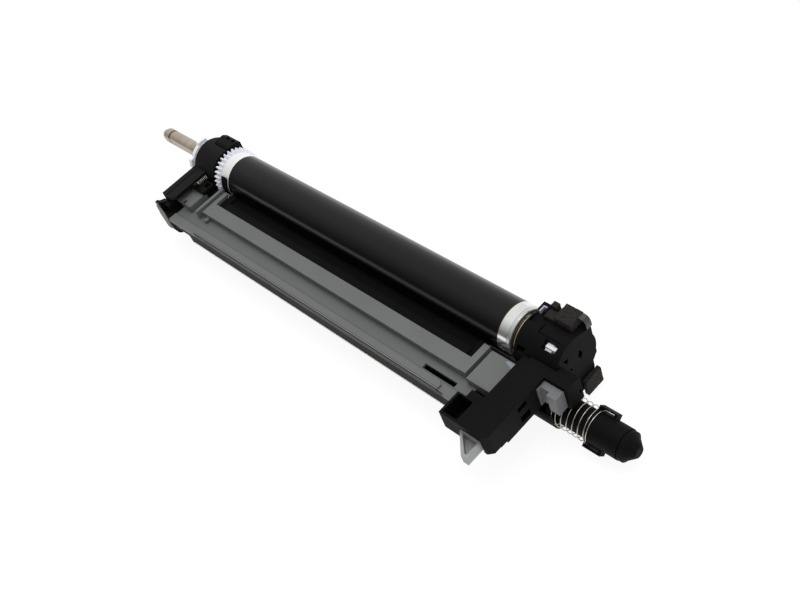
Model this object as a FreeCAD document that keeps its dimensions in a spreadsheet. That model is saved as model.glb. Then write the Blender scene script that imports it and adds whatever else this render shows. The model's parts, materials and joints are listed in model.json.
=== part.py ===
# Drum unit of a printer: photoconductor drum, cleaner housing, end frames and waste outlet.
# Millimetres. +X runs along the drum axis from the drive shaft's end to the waste outlet,
# +Z is up, and the origin is on the drum axis at the drive hub's outer face.
import FreeCAD, Part
import math
import os
import re

import Sketcher

doc = FreeCAD.newDocument("DrumUnit")

SIZES = {
    # drum
    "drum_r": 15,
    "drum_wall": 0.75,
    "drum_start": 46,
    "coat_length": 240.3,
    "bare_length": 6.2,
    "lip_length": 2.4,
    "lip_step": 0.15,
    "lip_chamfer": 0.6,
    "spigot_length": 12,
    "spigot_gap": 0.05,
    # drive shaft and hub
    "shaft_r": 5,
    "core_r": 6,
    "shaft_reach": 51.5,
    "shaft_flat": 0.9,
    "tip_length": 4,
    "tip_r": 3,
    "tip_groove_offset": 9.5,
    "tip_groove_width": 1.2,
    "tip_groove_r": 4.5,
    "hub_length": 8.2,
    "hub_r": 10.5,
    "hub_flange_r": 13,
    "hub_flange_width": 3,
    "dog_r": 14.8,
    "dog_width": 8.8,
    "dog_offset": -0.5,
    "dog_count": 5,
    # gears
    "gear_module": 1,
    "gear_teeth": 32,
    "auger_teeth": 21,
    "gear_width": 5,
    "flange_ring_width": 8,
    "mesh_gap": 0.1,
    "backlash": 0.16,
    # clearances
    "run_gap": 0.3,
    "fit_gap": 0.05,
    "slide_gap": 0.08,
    # cleaner housing, seen along the drum
    "cover_y": -28,
    "cover_width": 9.8,
    "groove_width": 9.4,
    "groove_depth": 5,
    "rail_width": 5.7,
    "rail_drop": 3,
    "skin": 1.8,
    "wall": 1.6,
    "front_drop": 16.4,
    "plate_front": 1.9,
    "plate_rear_y": -18.6,
    "far_plate_rear_y": -25,
    # cleaner housing, along the drum
    "far_floor_x": 20,
    "far_plate_x": 15.5,
    "far_plate_length": 15,
    "far_rib_x": 38.8,
    "rib_width": 2.2,
    "rib_height": 1.5,
    "cover_start": 42.5,
    "cover_arm_width": 3.6,
    "cover_setback": 22.6,
    "rail_start": 49,
    "rail_setback": 31,
    "slot_setback": 25.2,
    "slot_length": 24,
    "slot_width": 3,
    "near_rib_width": 4.2,
    "near_plate_gap": 2.2,
    # blade and seals
    "blade_start": 52,
    "blade_setback": 32,
    "bracket_thick": 1.4,
    "bracket_edge_y": -22,
    "blade_thick": 1.8,
    "blade_back_y": -31,
    "seal_width": 5.5,
    # waste auger and trough
    "auger_y": -17,
    "trough_r": 8,
    "trough_wall": 1.4,
    "casing_start": 40,
    "auger_shaft_r": 2.5,
    "flight_r": 6.3,
    "flight_pitch": 20,
    "flight_thick": 1.4,
    # waste pipe, shutter and spring
    "pipe_r": 8,
    "pipe_wall": 1.3,
    "pipe_reach": 43.5,
    "collar_r": 10.4,
    "collar_width": 2.6,
    "sleeve_r": 8.9,
    "sleeve_length": 20.5,
    "lug_length": 11,
    "lug_width": 5,
    "lug_height": 2.7,
    "lug_lean": 38,
    "spring_wire_r": 0.35,
    "spring_r": 9.75,
    "spring_turns": 8,
    "cap_length": 7.8,
    "cap_tip_r": 3.2,
    # far end frame
    "far_ring_width": 21.5,
    "ring_r": 16,
    "ring_wall": 2.4,
    "far_arm_width": 8,
    "far_web_width": 4.2,
    "far_flange_width": 12.5,
    "flange_thick": 2.3,
    "far_arm_front_y": -44,
    "arm_top": 7,
    "far_bush_r": 9,
    "fin_x": 3.6,
    "fin_thick": 4.2,
    # near end frame
    "near_gap": 3.6,
    "near_ring_width": 26,
    "end_plate": 2.5,
    "box_top": 14,
    "near_arm_top": 7.5,
    "near_arm_width": 13.3,
    "near_arm_setback": 0.2,
    "shelf_width": 5,
    "shelf_step": 1.2,
    "near_front_y": -65.3,
    "corner_chamfer": 2.8,
    "arm_drop": 9.7,
    "arm_front_drop": 7.5,
    "box_length": 14,
    "box_rear_y": -50.5,
    "box_wall": 1.5,
    "block_length": 14.7,
    "block_side_y": -20.4,
    "block_rear_y": -10.8,
    "web_thick": 5,
    "foot_drop": 30.6,
    "front_foot_y": -50,
    "foot_length": 8,
    "rear_foot_y": 12,
    # levers and button
    "button_length": 12.3,
    "button_width": 6.5,
    "button_height": 13,
    "button_travel": 3,
    "lever_reach": 10.8,
    "lever_width": 14.2,
    "lever_height": 5.7,
    "lever_wall": 1.6,
    "pin_r": 1.2,
    "small_pin_r": 1,
    "lever_spring_r": 1.5,
    "lever_wire_r": 0.22,
    # sponge blocks
    "foam_height": 6,
}

sheet = doc.addObject("Spreadsheet::Sheet", "Sizes")
for row, (alias, number) in enumerate(SIZES.items(), start=1):
    sheet.set("A%d" % row, alias.replace("_", " "))
    sheet.set("B%d" % row, str(number))
    sheet.setAlias("B%d" % row, alias)
doc.recompute()


def size(alias):
    return float(sheet.get(alias))


def bound(text):
    """The text as an expression that reads its named sizes from the sheet."""
    return re.sub(r"[a-z][a-z0-9_]*",
                  lambda word: "Sizes." + word.group() if word.group() in SIZES else word.group(),
                  str(text))


# Places that several pieces share
TUBE_END = "(drum_start + coat_length + bare_length)"
DRUM_END = "(drum_start + coat_length + bare_length + lip_length)"
GEAR_START = "(drum_start - flange_ring_width - gear_width)"
FAR_FACE = "(hub_length + run_gap)"
RING_END = f"({FAR_FACE} + far_ring_width)"
ARM_INNER = f"({FAR_FACE} + far_arm_width)"
WEB_END = f"({FAR_FACE} + far_web_width)"
FLANGE_END = f"({FAR_FACE} + far_flange_width)"
NEAR_RING = f"({DRUM_END} + near_gap)"
NEAR_FACE = f"({NEAR_RING} + near_ring_width)"
PLATE_FACE = f"({NEAR_FACE} + end_plate)"
ARM_FACE = f"({NEAR_FACE} - near_arm_setback)"
ARM_BACK = f"({ARM_FACE} - near_arm_width)"
SHELF_BACK = f"({ARM_BACK} - shelf_width)"
BOX_BACK = f"({SHELF_BACK} - box_length)"
COVER_END = f"({SHELF_BACK} - cover_setback)"
RAIL_END = f"({SHELF_BACK} - rail_setback)"
SLOT_END = f"({SHELF_BACK} - slot_setback)"
BLADE_END = f"({SHELF_BACK} - blade_setback)"
COVER_FRONT = "(cover_y - cover_width)"
GROOVE_FRONT = f"({COVER_FRONT} - groove_width)"
RAIL_FRONT = f"({GROOVE_FRONT} - rail_width)"
FLOOR_UNDER = "(0 - groove_depth - skin)"
PLATE_FRONT = f"({COVER_FRONT} - plate_front)"
MESH = "(gear_module * (gear_teeth + auger_teeth) / 2 + mesh_gap)"
AUGER_Z = f"(0 - sqrt({MESH} ^ 2 - auger_y ^ 2))"
SHELF_TOP = "(near_arm_top - shelf_step)"
PIPE_END = f"({ARM_FACE} + pipe_reach)"
SLEEVE_START = f"({PIPE_END} - sleeve_length)"
COLLAR_START = f"({ARM_FACE} + run_gap)"
SPRING_START = f"({COLLAR_START} + collar_width)"


class Piece:
    """A PartDesign body whose profiles and lengths follow the sheet."""

    planes = {"YZ": "YZ_Plane", "XY": "XY_Plane"}

    def __init__(self, name):
        self.name = name
        self.body = doc.addObject("PartDesign::Body", "Body_" + name)
        self.body.Label = name
        self.count = 0

    def sketch(self, plane, at):
        self.count += 1
        sketch = self.body.newObject("Sketcher::SketchObject", f"{self.name}_sketch{self.count}")
        role = self.planes[plane]
        origin = next(feature for feature in self.body.Origin.OriginFeatures if feature.Role == role)
        sketch.AttachmentSupport = (origin, [""])
        sketch.MapMode = "FlatFace"
        sketch.setExpression("AttachmentOffset.Base.z", bound(at))
        return sketch

    @staticmethod
    def hold(sketch, kind, geometry, point, start, expression):
        index = sketch.addConstraint(Sketcher.Constraint(kind, -1, 1, geometry, point, start))
        sketch.setExpression(f"Constraints[{index}]", bound(expression))

    def polygon(self, sketch, points):
        count = len(points)
        turn = 2 * math.pi / count
        ring = [FreeCAD.Vector(math.cos(i * turn), math.sin(i * turn)) for i in range(count)]
        first = sketch.GeometryCount
        for i in range(count):
            sketch.addGeometry(Part.LineSegment(ring[i], ring[(i + 1) % count]))
        for i in range(count):
            sketch.addConstraint(Sketcher.Constraint("Coincident", first + i, 2, first + (i + 1) % count, 1))
        for i, (across, up) in enumerate(points):
            self.hold(sketch, "DistanceX", first + i, 1, ring[i].x, across)
            self.hold(sketch, "DistanceY", first + i, 1, ring[i].y, up)

    def circle(self, sketch, across, up, radius):
        index = sketch.addGeometry(Part.Circle(FreeCAD.Vector(1, 1, 0), FreeCAD.Vector(0, 0, 1), 1))
        ring = sketch.addConstraint(Sketcher.Constraint("Radius", index, 1))
        sketch.setExpression(f"Constraints[{ring}]", bound(radius))
        self.hold(sketch, "DistanceX", index, 3, 1, across)
        self.hold(sketch, "DistanceY", index, 3, 1, up)

    def extrude(self, kind, sketch, length):
        feature = self.body.newObject("PartDesign::" + kind, f"{self.name}_{kind.lower()}{self.count}")
        feature.Profile = sketch
        feature.setExpression("Length", bound(length))
        if kind == "Pocket":
            feature.Reversed = True
        sketch.Visibility = False
        return feature

    def prism(self, plane, points, start, end, kind="Pad"):
        """A polygon carried from start to end along the plane's normal."""
        sketch = self.sketch(plane, start)
        self.polygon(sketch, points)
        return self.extrude(kind, sketch, f"({end}) - ({start})")

    def disc(self, radius, start, end, across="0", up="0", kind="Pad"):
        """A round boss or hole along X."""
        sketch = self.sketch("YZ", start)
        self.circle(sketch, across, up, radius)
        return self.extrude(kind, sketch, f"({end}) - ({start})")

    def tube(self, outer, inner, start, end, across="0", up="0"):
        sketch = self.sketch("YZ", start)
        self.circle(sketch, across, up, outer)
        self.circle(sketch, across, up, inner)
        return self.extrude("Pad", sketch, f"({end}) - ({start})")

    def cone(self, first, last, start, length, across="0", up="0"):
        """A round taper along X."""
        self.count += 1
        cone = self.body.newObject("PartDesign::AdditiveCone", f"{self.name}_cone{self.count}")
        cone.setExpression("Radius1", bound(first))
        cone.setExpression("Radius2", bound(last))
        cone.setExpression("Height", bound(length))
        cone.Placement = FreeCAD.Placement(FreeCAD.Vector(), FreeCAD.Rotation(FreeCAD.Vector(0, 1, 0), 90))
        for axis, place in (("x", start), ("y", across), ("z", up)):
            cone.setExpression("Placement.Base." + axis, bound(place))
        return cone

    def block(self, x, y, z, kind="Pad"):
        """A box between two places along each axis."""
        corners = [(x[0], y[0]), (x[1], y[0]), (x[1], y[1]), (x[0], y[1])]
        return self.prism("XY", corners, z[0], z[1], kind)

    def hollow(self, x, y, z):
        return self.block(x, y, z, "Pocket")

    def turn_pattern(self, feature, copies):
        """The feature repeated around X."""
        pattern = self.body.newObject("PartDesign::PolarPattern", f"{self.name}_pattern{self.count}")
        pattern.Originals = [feature]
        axis = next(part for part in self.body.Origin.OriginFeatures if part.Role == "X_Axis")
        pattern.Axis = (axis, [""])
        pattern.Angle = 360
        pattern.Occurrences = copies
        self.body.Tip = pattern
        return pattern


# Drum, its shaft and its flanges

def make_drum_tube():
    tube = Piece("drum_tube")
    tube.tube("drum_r", "drum_r - drum_wall", "drum_start", TUBE_END)


def gear_points(teeth, module, thinning, phase):
    """Corners of a spur gear with involute flanks, the first tooth centred on the angle phase."""
    pressure = math.radians(20)
    pitch = module * teeth / 2
    base = pitch * math.cos(pressure)
    root = pitch - 1.25 * module
    tip = pitch + module
    half = math.pi / (2 * teeth) - thinning / (2 * pitch) + math.tan(pressure) - pressure
    low = max(root, base)
    flank = []
    steps = 3
    for i in range(steps + 1):
        radius = low + (tip - low) * i / steps
        angle = math.acos(base / radius)
        flank.append((radius, half - (math.tan(angle) - angle)))
    corners = []
    for tooth in range(teeth):
        middle = phase + 2 * math.pi * tooth / teeth
        side = [(root, flank[0][1])] + flank
        for radius, offset in side:
            corners.append((radius, middle - offset))
        for radius, offset in reversed(side):
            corners.append((radius, middle + offset))
    return [FreeCAD.Vector(0, radius * math.cos(angle), radius * math.sin(angle)) for radius, angle in corners]


def gear_solid(teeth, phase, centre, start, width):
    """A toothed disc across X, its centre given in Y and Z."""
    corners = gear_points(teeth, size("gear_module"), size("backlash"), phase)
    shift = FreeCAD.Vector(start, centre[0], centre[1])
    corners = [corner + shift for corner in corners]
    outline = Part.makePolygon(corners + corners[:1])
    return Part.Face(outline).extrude(FreeCAD.Vector(width, 0, 0))


def rod(radius, start, end, centre=(0, 0)):
    return Part.makeCylinder(radius, end - start, FreeCAD.Vector(start, centre[0], centre[1]),
                             FreeCAD.Vector(1, 0, 0))


def shape_piece(name, shape):
    feature = doc.addObject("Part::Feature", "Solid_" + name)
    feature.Label = name
    feature.Shape = shape
    feature.Placement = FreeCAD.Placement()
    return feature


def gear_angles():
    """Phases that put a drum tooth and an auger gap on the line between the two axes."""
    across = size("auger_y")
    mesh = size("gear_module") * (size("gear_teeth") + size("auger_teeth")) / 2 + size("mesh_gap")
    down = -math.sqrt(mesh ** 2 - across ** 2)
    toward = math.atan2(down, across)
    return toward, toward + math.pi + math.pi / size("auger_teeth"), (across, down)


def make_gear_flange():
    start = size("drum_start") - size("flange_ring_width") - size("gear_width")
    toward, _, _ = gear_angles()
    gear = gear_solid(int(size("gear_teeth")), toward, (0, 0), start, size("gear_width"))
    ring = rod(size("drum_r"), start + size("gear_width"), size("drum_start"))
    bore_r = size("drum_r") - size("drum_wall") - size("spigot_gap")
    spigot = rod(bore_r, size("drum_start"), size("drum_start") + size("spigot_length"))
    inside = rod(bore_r - size("wall"), size("drum_start") + 2, size("drum_start") + size("spigot_length"))
    sleeve = rod(size("core_r") + 2, size("drum_start") + 1, size("drum_start") + size("spigot_length"))
    body = gear.fuse([ring, spigot]).cut(inside).fuse(sleeve)
    bore = rod(size("core_r"), start, size("drum_start") + size("spigot_length"))
    shape_piece("gear_flange", body.cut(bore).removeSplitter())


def make_near_flange():
    flange = Piece("near_flange")
    floor = f"({DRUM_END} - 1.8)"
    flange.disc("drum_r - drum_wall - spigot_gap", f"{TUBE_END} - spigot_length", TUBE_END)
    flange.disc("drum_r - lip_step", TUBE_END, f"{DRUM_END} - lip_chamfer")
    flange.cone("drum_r - lip_step", "drum_r - lip_step - lip_chamfer", f"{DRUM_END} - lip_chamfer",
                "lip_chamfer")
    flange.disc("drum_r - lip_step - 2", floor, f"{DRUM_END} + 1", kind="Pocket")
    flange.disc("core_r + 4", f"{floor} - 0.5", f"{DRUM_END} + near_gap - run_gap")
    flange.disc("core_r", f"{TUBE_END} - spigot_length - 1", f"{DRUM_END} + near_gap", kind="Pocket")


def make_drum_shaft():
    shaft = Piece("drum_shaft")
    tip = "(0 - shaft_reach)"
    groove = "(tip_groove_offset - shaft_reach)"
    shaft.disc("shaft_r", f"{tip} + tip_length", groove)
    shaft.disc("tip_groove_r", groove, f"{groove} + tip_groove_width")
    shaft.disc("shaft_r", f"{groove} + tip_groove_width", "0")
    shaft.disc("core_r", "0", f"{NEAR_FACE} - 1")
    shaft.cone("tip_r", "shaft_r", tip, "tip_length")
    shaft.block((f"{tip} - 1", "0"), ("0 - shaft_r - 1", "shaft_flat - shaft_r"), ("0 - shaft_r", "shaft_r"),
                "Pocket")


def make_drive_hub():
    hub = Piece("drive_hub")
    hub.tube("hub_r", "core_r", "0", "hub_length")
    hub.tube("hub_flange_r", "hub_r - 1", "0", "hub_flange_width")
    sketch = hub.sketch("YZ", "0")
    left = "0 - dog_offset - dog_width / 2"
    right = "dog_width / 2 - dog_offset"
    hub.polygon(sketch, [(left, "hub_flange_r - 1.5"), (right, "hub_flange_r - 1.5"),
                         (f"{right} - 1.5", "dog_r"), (f"{left} + 1.5", "dog_r")])
    dog = hub.extrude("Pad", sketch, "hub_flange_width")
    hub.turn_pattern(dog, int(size("dog_count")))


# Waste auger

def make_waste_auger():
    auger = Piece("waste_auger")
    start = "(far_floor_x + 2.5)"
    auger.disc("auger_shaft_r", start, f"{PIPE_END} + cap_length / 2", "auger_y", AUGER_Z)
    doc.recompute()
    _, _, centre = gear_angles()
    sketch = auger.body.newObject("Sketcher::SketchObject", "waste_auger_flight_sketch")
    origin = next(part for part in auger.body.Origin.OriginFeatures if part.Role == "XZ_Plane")
    sketch.AttachmentSupport = (origin, [""])
    sketch.MapMode = "FlatFace"
    sketch.setExpression("AttachmentOffset.Base.z", bound("0 - auger_y"))
    flight_start = "(casing_start + 4)"
    auger.polygon(sketch, [(flight_start, f"{AUGER_Z} + auger_shaft_r - 0.4"),
                           (f"{flight_start} + flight_thick", f"{AUGER_Z} + auger_shaft_r - 0.4"),
                           (f"{flight_start} + flight_thick", f"{AUGER_Z} + flight_r"),
                           (flight_start, f"{AUGER_Z} + flight_r")])
    line = sketch.addGeometry(Part.LineSegment(FreeCAD.Vector(0, centre[1]), FreeCAD.Vector(1, centre[1])),
                              True)
    sketch.addConstraint(Sketcher.Constraint("Horizontal", line))
    auger.hold(sketch, "DistanceX", line, 1, 0, "0")
    auger.hold(sketch, "DistanceY", line, 1, centre[1], AUGER_Z)
    auger.hold(sketch, "DistanceX", line, 2, 1, "flight_r")
    doc.recompute()
    flight = auger.body.newObject("PartDesign::AdditiveHelix", "waste_auger_flight")
    flight.Profile = sketch
    flight.ReferenceAxis = (sketch, ["Axis0"])
    flight.Mode = 0
    flight.setExpression("Pitch", bound("flight_pitch"))
    flight.setExpression("Height", bound(f"{PIPE_END} - 6 - {flight_start}"))


def make_auger_gear():
    start = size("drum_start") - size("flange_ring_width") - size("gear_width")
    _, facing, centre = gear_angles()
    gear = gear_solid(int(size("auger_teeth")), facing, centre, start, size("gear_width"))
    boss = rod(size("auger_shaft_r") + 2.5, start - 1.5, start, centre)
    bore = rod(size("auger_shaft_r"), start - 2, start + size("gear_width") + 1, centre)
    shape_piece("auger_gear", gear.fuse(boss).cut(bore).removeSplitter())


# Cleaner housing and what it holds

def make_cleaner_housing():
    housing = Piece("cleaner_housing")
    floor_end = f"({BOX_BACK} - run_gap)"
    floor_top = "(0 - groove_depth)"
    # floor of the long groove with the front lip
    housing.prism("YZ", [(f"{COVER_FRONT} + wall", floor_top), (f"{COVER_FRONT}", floor_top),
                         (f"{GROOVE_FRONT} + 1.5", floor_top), (GROOVE_FRONT, f"{floor_top} + 0.8"),
                         (RAIL_FRONT, f"{floor_top} + 0.8"), (RAIL_FRONT, FLOOR_UNDER),
                         (f"{COVER_FRONT} + wall", FLOOR_UNDER)], "far_floor_x", floor_end)
    # flat cover over the blade, with the groove's inner wall
    housing.prism("YZ", [("cover_y", "0"), (COVER_FRONT, "0"), (COVER_FRONT, floor_top),
                         (f"{COVER_FRONT} + wall", floor_top), (f"{COVER_FRONT} + wall", "0 - skin"),
                         ("cover_y", "0 - skin")], "cover_start", COVER_END)
    # front rail with its tapered end
    housing.prism("XY", [("rail_start", GROOVE_FRONT), (f"{RAIL_END} - 2.6", GROOVE_FRONT),
                         (RAIL_END, f"{GROOVE_FRONT} - 1.8"), (f"{RAIL_END} - 0.2", RAIL_FRONT),
                         ("rail_start", RAIL_FRONT)], floor_top, "0 - rail_drop")
    # far end: arm of the cover, rib, web and plate
    arm_rear = "(0 - drum_r - 2.5)"
    housing.block(("cover_start", "cover_start + cover_arm_width"), ("cover_y", arm_rear), ("0 - skin", "0"))
    housing.block(("far_rib_x", "cover_start + cover_arm_width"), (f"{COVER_FRONT} + wall", arm_rear),
                  (FLOOR_UNDER, floor_top))
    housing.block(("far_rib_x", "far_rib_x + rib_width"), (f"{PLATE_FRONT} - 1", "0 - drum_r - 1.4"),
                  (floor_top, "rib_height"))
    far_plate_end = "(far_plate_x + far_plate_length)"
    housing.block(("far_plate_x", far_plate_end), (PLATE_FRONT, "far_plate_rear_y"), ("0 - skin", "0"))
    housing.block(("far_plate_x + 4", far_plate_end), (PLATE_FRONT, f"{PLATE_FRONT} + wall"),
                  (floor_top, "0 - skin"))
    housing.block((f"{far_plate_end} - wall", far_plate_end), (f"{PLATE_FRONT} + wall", "far_plate_rear_y"),
                  (FLOOR_UNDER, "0 - skin"))
    housing.block((far_plate_end, "far_rib_x"), (f"{COVER_FRONT} + wall", "far_plate_rear_y"),
                  (FLOOR_UNDER, floor_top))
    housing.hollow(("far_plate_x + 5.4", "far_plate_x + 8.6"), (f"{PLATE_FRONT} - 1", f"{PLATE_FRONT} + 3"),
                   (floor_top, "1"))
    housing.block(("cover_start + 4", "cover_start + 7"), (f"{COVER_FRONT} - 3.4", COVER_FRONT),
                  (floor_top, f"{floor_top} + 2.4"))
    # near end: cross rib, web and plate
    near_rib = f"({COVER_END} - near_rib_width)"
    plate_start = f"({COVER_END} + near_plate_gap)"
    plate_end = f"({SHELF_BACK} - run_gap)"
    housing.block((near_rib, COVER_END), (COVER_FRONT, arm_rear), (floor_top, "0.6"))
    housing.block((near_rib, plate_end), (f"{COVER_FRONT} + wall", arm_rear), (FLOOR_UNDER, floor_top))
    housing.block((plate_start, plate_end), (PLATE_FRONT, "plate_rear_y"), ("0 - skin", "0"))
    housing.block((plate_start, plate_end), (PLATE_FRONT, f"{PLATE_FRONT} + wall"), (floor_top, "0 - skin"))
    housing.block((plate_start, f"{plate_start} + wall"), (f"{PLATE_FRONT} + wall", "plate_rear_y"),
                  (floor_top, "0 - skin"))
    housing.block((floor_end, plate_end), (PLATE_FRONT, f"{COVER_FRONT} + wall"), (FLOOR_UNDER, floor_top))
    # slot through the groove's floor
    housing.hollow((f"{SLOT_END} - slot_length", SLOT_END),
                   (f"{GROOVE_FRONT} + 1.6", f"{GROOVE_FRONT} + 1.6 + slot_width"), (f"{FLOOR_UNDER} - 1", "1"))


def trough_lip():
    """The trough's edge beside the drum, as Y and Z expressions for its outer and inner corner."""
    reach = "(trough_r + trough_wall)"
    outer = (f"(auger_y + {reach} * 0.5)", f"({AUGER_Z} + {reach} * 0.866)")
    inner = (f"(auger_y + {reach} * 0.5 - 1.9)", f"({AUGER_Z} + {reach} * 0.866 + 0.86)")
    return outer, inner


def make_lower_casing():
    casing = Piece("lower_casing")
    outer, inner = trough_lip()
    end = SHELF_BACK
    reach = "(trough_r + trough_wall)"
    casing.prism("YZ", [(f"{RAIL_FRONT} + wall + 0.1", FLOOR_UNDER), (RAIL_FRONT, FLOOR_UNDER),
                        (RAIL_FRONT, "0 - front_drop"),
                        (f"auger_y - {reach} * 0.4", f"{AUGER_Z} - {reach} * 0.9"), ("auger_y", AUGER_Z),
                        outer, inner], "casing_start", end)
    casing.disc(reach, "casing_start", end, "auger_y", AUGER_Z)
    inside = "(casing_start + wall)"
    casing.prism("YZ", [(f"{RAIL_FRONT} + wall", f"{FLOOR_UNDER} + 2"),
                        (f"{RAIL_FRONT} + wall", "1 - front_drop"),
                        (f"auger_y - trough_r * 0.4", f"{AUGER_Z} - trough_r * 0.9"), ("auger_y", AUGER_Z),
                        (f"auger_y + trough_r * 0.5", f"{AUGER_Z} + trough_r * 0.866"),
                        (f"{inner[0]} - 1", f"{inner[1]} - 0.5"), (f"{inner[0]} - 1", f"{FLOOR_UNDER} + 2")],
                 inside, f"{end} + 1", "Pocket")
    casing.disc("trough_r", inside, f"{end} + 1", "auger_y", AUGER_Z, "Pocket")
    casing.disc("auger_shaft_r + fit_gap", "casing_start - 1", f"{inside} + 1", "auger_y", AUGER_Z, "Pocket")
    casing.hollow((f"{BOX_BACK} - 0.2", f"{end} + 1"), (f"{RAIL_FRONT} - 1", "box_rear_y + 0.2"),
                  ("0 - arm_front_drop - 0.2", "0"))


def make_front_contact_strip():
    strip = Piece("front_contact_strip")
    strip.block(("casing_start + 2", f"{BOX_BACK} - 1"), (f"{RAIL_FRONT} - 0.25", RAIL_FRONT),
                ("0 - front_drop", "1.3 - front_drop"))


def make_blade():
    bracket = Piece("blade_bracket")
    bracket_top = "(0 - skin)"
    bracket_under = "(0 - skin - bracket_thick)"
    bracket.block(("blade_start", BLADE_END), (f"{COVER_FRONT} + wall", "bracket_edge_y"),
                  (bracket_under, bracket_top))
    blade = Piece("cleaning_blade")
    blade.block(("blade_start", BLADE_END), ("blade_back_y", "0 - drum_r"),
                (f"{bracket_under} - blade_thick", bracket_under))
    blade.disc("drum_r + run_gap", "blade_start - 1", f"{BLADE_END} + 1", kind="Pocket")


def make_seal(name, start, end):
    seal = Piece(name)
    seal.block((start, end), (f"{COVER_FRONT} + wall", "0 - drum_r"), (f"{FLOOR_UNDER} + 0.4", "0 - skin"))
    seal.hollow((f"{start} - 1", f"{end} + 1"), ("cover_y", "0"), ("0 - skin - 0.6", "1"))
    seal.disc("drum_r + run_gap", f"{start} - 1", f"{end} + 1", kind="Pocket")


def make_recovery_film():
    film = Piece("recovery_film")
    outer, inner = trough_lip()
    low_y = f"({outer[0]} * 0.4 + {inner[0]} * 0.6)"
    low_z = f"({outer[1]} * 0.4 + {inner[1]} * 0.6 + 0.1)"
    side_y = f"({outer[0]} * 0.2 + {inner[0]} * 0.8)"
    side_z = f"({outer[1]} * 0.2 + {inner[1]} * 0.8 + 0.1)"
    film.prism("YZ", [(low_y, low_z), (side_y, side_z),
                      ("0 - (drum_r + run_gap) * 0.915", "0 - drum_r * 0.475"),
                      ("0 - (drum_r + run_gap) * 0.891", "0 - (drum_r + run_gap) * 0.455")],
               "blade_start", BLADE_END)


# End frames

def make_far_end_frame():
    frame = Piece("far_end_frame")
    # ring round the drum bearing
    frame.disc("ring_r", FAR_FACE, RING_END)
    # arm from the ring to the front: upright web, top flange with a fine groove, and lower flange
    frame.block((FAR_FACE, WEB_END), ("far_arm_front_y", "0"), ("0 - arm_drop", "arm_top"))
    flange_top = "(arm_top - 0.2)"
    frame.prism("XY", [(f"{WEB_END} - 1", "2 - ring_r"), (FLANGE_END, "2 - ring_r"),
                       (FLANGE_END, "far_arm_front_y + corner_chamfer"),
                       (f"{FLANGE_END} - corner_chamfer", "far_arm_front_y"),
                       (f"{WEB_END} - 1", "far_arm_front_y")],
                f"{flange_top} - flange_thick", flange_top)
    frame.hollow((WEB_END, f"{WEB_END} + 0.4"), ("far_arm_front_y - 1", "0 - ring_r"),
                 (f"{flange_top} - 0.6", f"{flange_top} + 1"))
    shelf = ("0 - arm_drop - 3", "0 - arm_drop + 2.4")
    frame.block(("fin_x", "far_floor_x"), (f"{RAIL_FRONT} + 1.5", "far_arm_front_y + 8"), shelf)
    frame.block((FAR_FACE, "far_floor_x"), (f"{RAIL_FRONT} + 10", "-8"), shelf)
    # guide fin, whose rounded lower end is the front foot, and its root on the arm
    front = "far_arm_front_y"
    frame.prism("YZ", [(f"{front} + 1", "0 - arm_drop"), (f"{front} + 1", "-1.5"), (f"{front} - 2.9", "0"),
                       (f"{front} - 4.2", "1.6"), (f"{front} - 6.3", "1.6"),
                       (f"{front} - 6.4", "10.5 - foot_drop"),
                       (f"{front} - 5.8", "6.5 - foot_drop"), (f"{front} - 4.5", "2.3 - foot_drop"),
                       (f"{front} - 2.8", "0.6 - foot_drop"), (f"{front} - 1.4", "0 - foot_drop"),
                       (f"{front} + 1", "0 - foot_drop"), (f"{front} + 3", "2 - foot_drop"),
                       (f"{front} + 3", "0 - arm_drop - 3")], "fin_x", "fin_x + fin_thick")
    frame.block(("fin_x + 1", WEB_END), (f"{front} - 3", f"{front} + 1"), ("0 - arm_drop", "-1.5"))
    # wall under the front rail
    frame.block(("far_floor_x + 1", "casing_start - run_gap"), (f"{RAIL_FRONT} + 1.5", f"{RAIL_FRONT} + 3.5"),
                ("2 - front_drop", "0 - arm_drop + 2.4"))
    # lower web that carries the auger and the rear foot
    frame.prism("YZ", [(f"{RAIL_FRONT} + 1.5", "0 - arm_drop + 2.4"), (f"{RAIL_FRONT} + 1.5", "2 - front_drop"),
                       (f"{RAIL_FRONT} + 12", "0 - front_drop - 1"), (f"{RAIL_FRONT} + 18", "6 - foot_drop"),
                       ("-6", "6 - foot_drop"), ("-2", "0 - foot_drop"), ("rear_foot_y - 1", "0 - foot_drop"),
                       ("rear_foot_y", "0 - drum_r"), ("0", "0 - drum_r + 4"),
                       ("0 - drum_r", "0 - arm_drop + 2.4")],
                "far_floor_x", "far_floor_x + web_thick")
    # bores
    frame.disc("far_bush_r", f"{FAR_FACE} - 1", f"{FAR_FACE} + far_arm_width", kind="Pocket")
    frame.disc("ring_r - ring_wall", f"{FAR_FACE} + far_arm_width", f"{RING_END} + 1", kind="Pocket")
    frame.disc("auger_shaft_r + fit_gap", "far_floor_x - 1", "far_floor_x + web_thick + 1", "auger_y",
               AUGER_Z, "Pocket")


def make_far_bush():
    bush = Piece("far_bush")
    bush.tube("far_bush_r", "core_r + fit_gap", FAR_FACE, f"{FAR_FACE} + far_arm_width")
    bush.tube("far_bush_r + 2", "core_r + fit_gap", f"{FAR_FACE} + far_arm_width",
              f"{FAR_FACE} + far_arm_width + 2")


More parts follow.
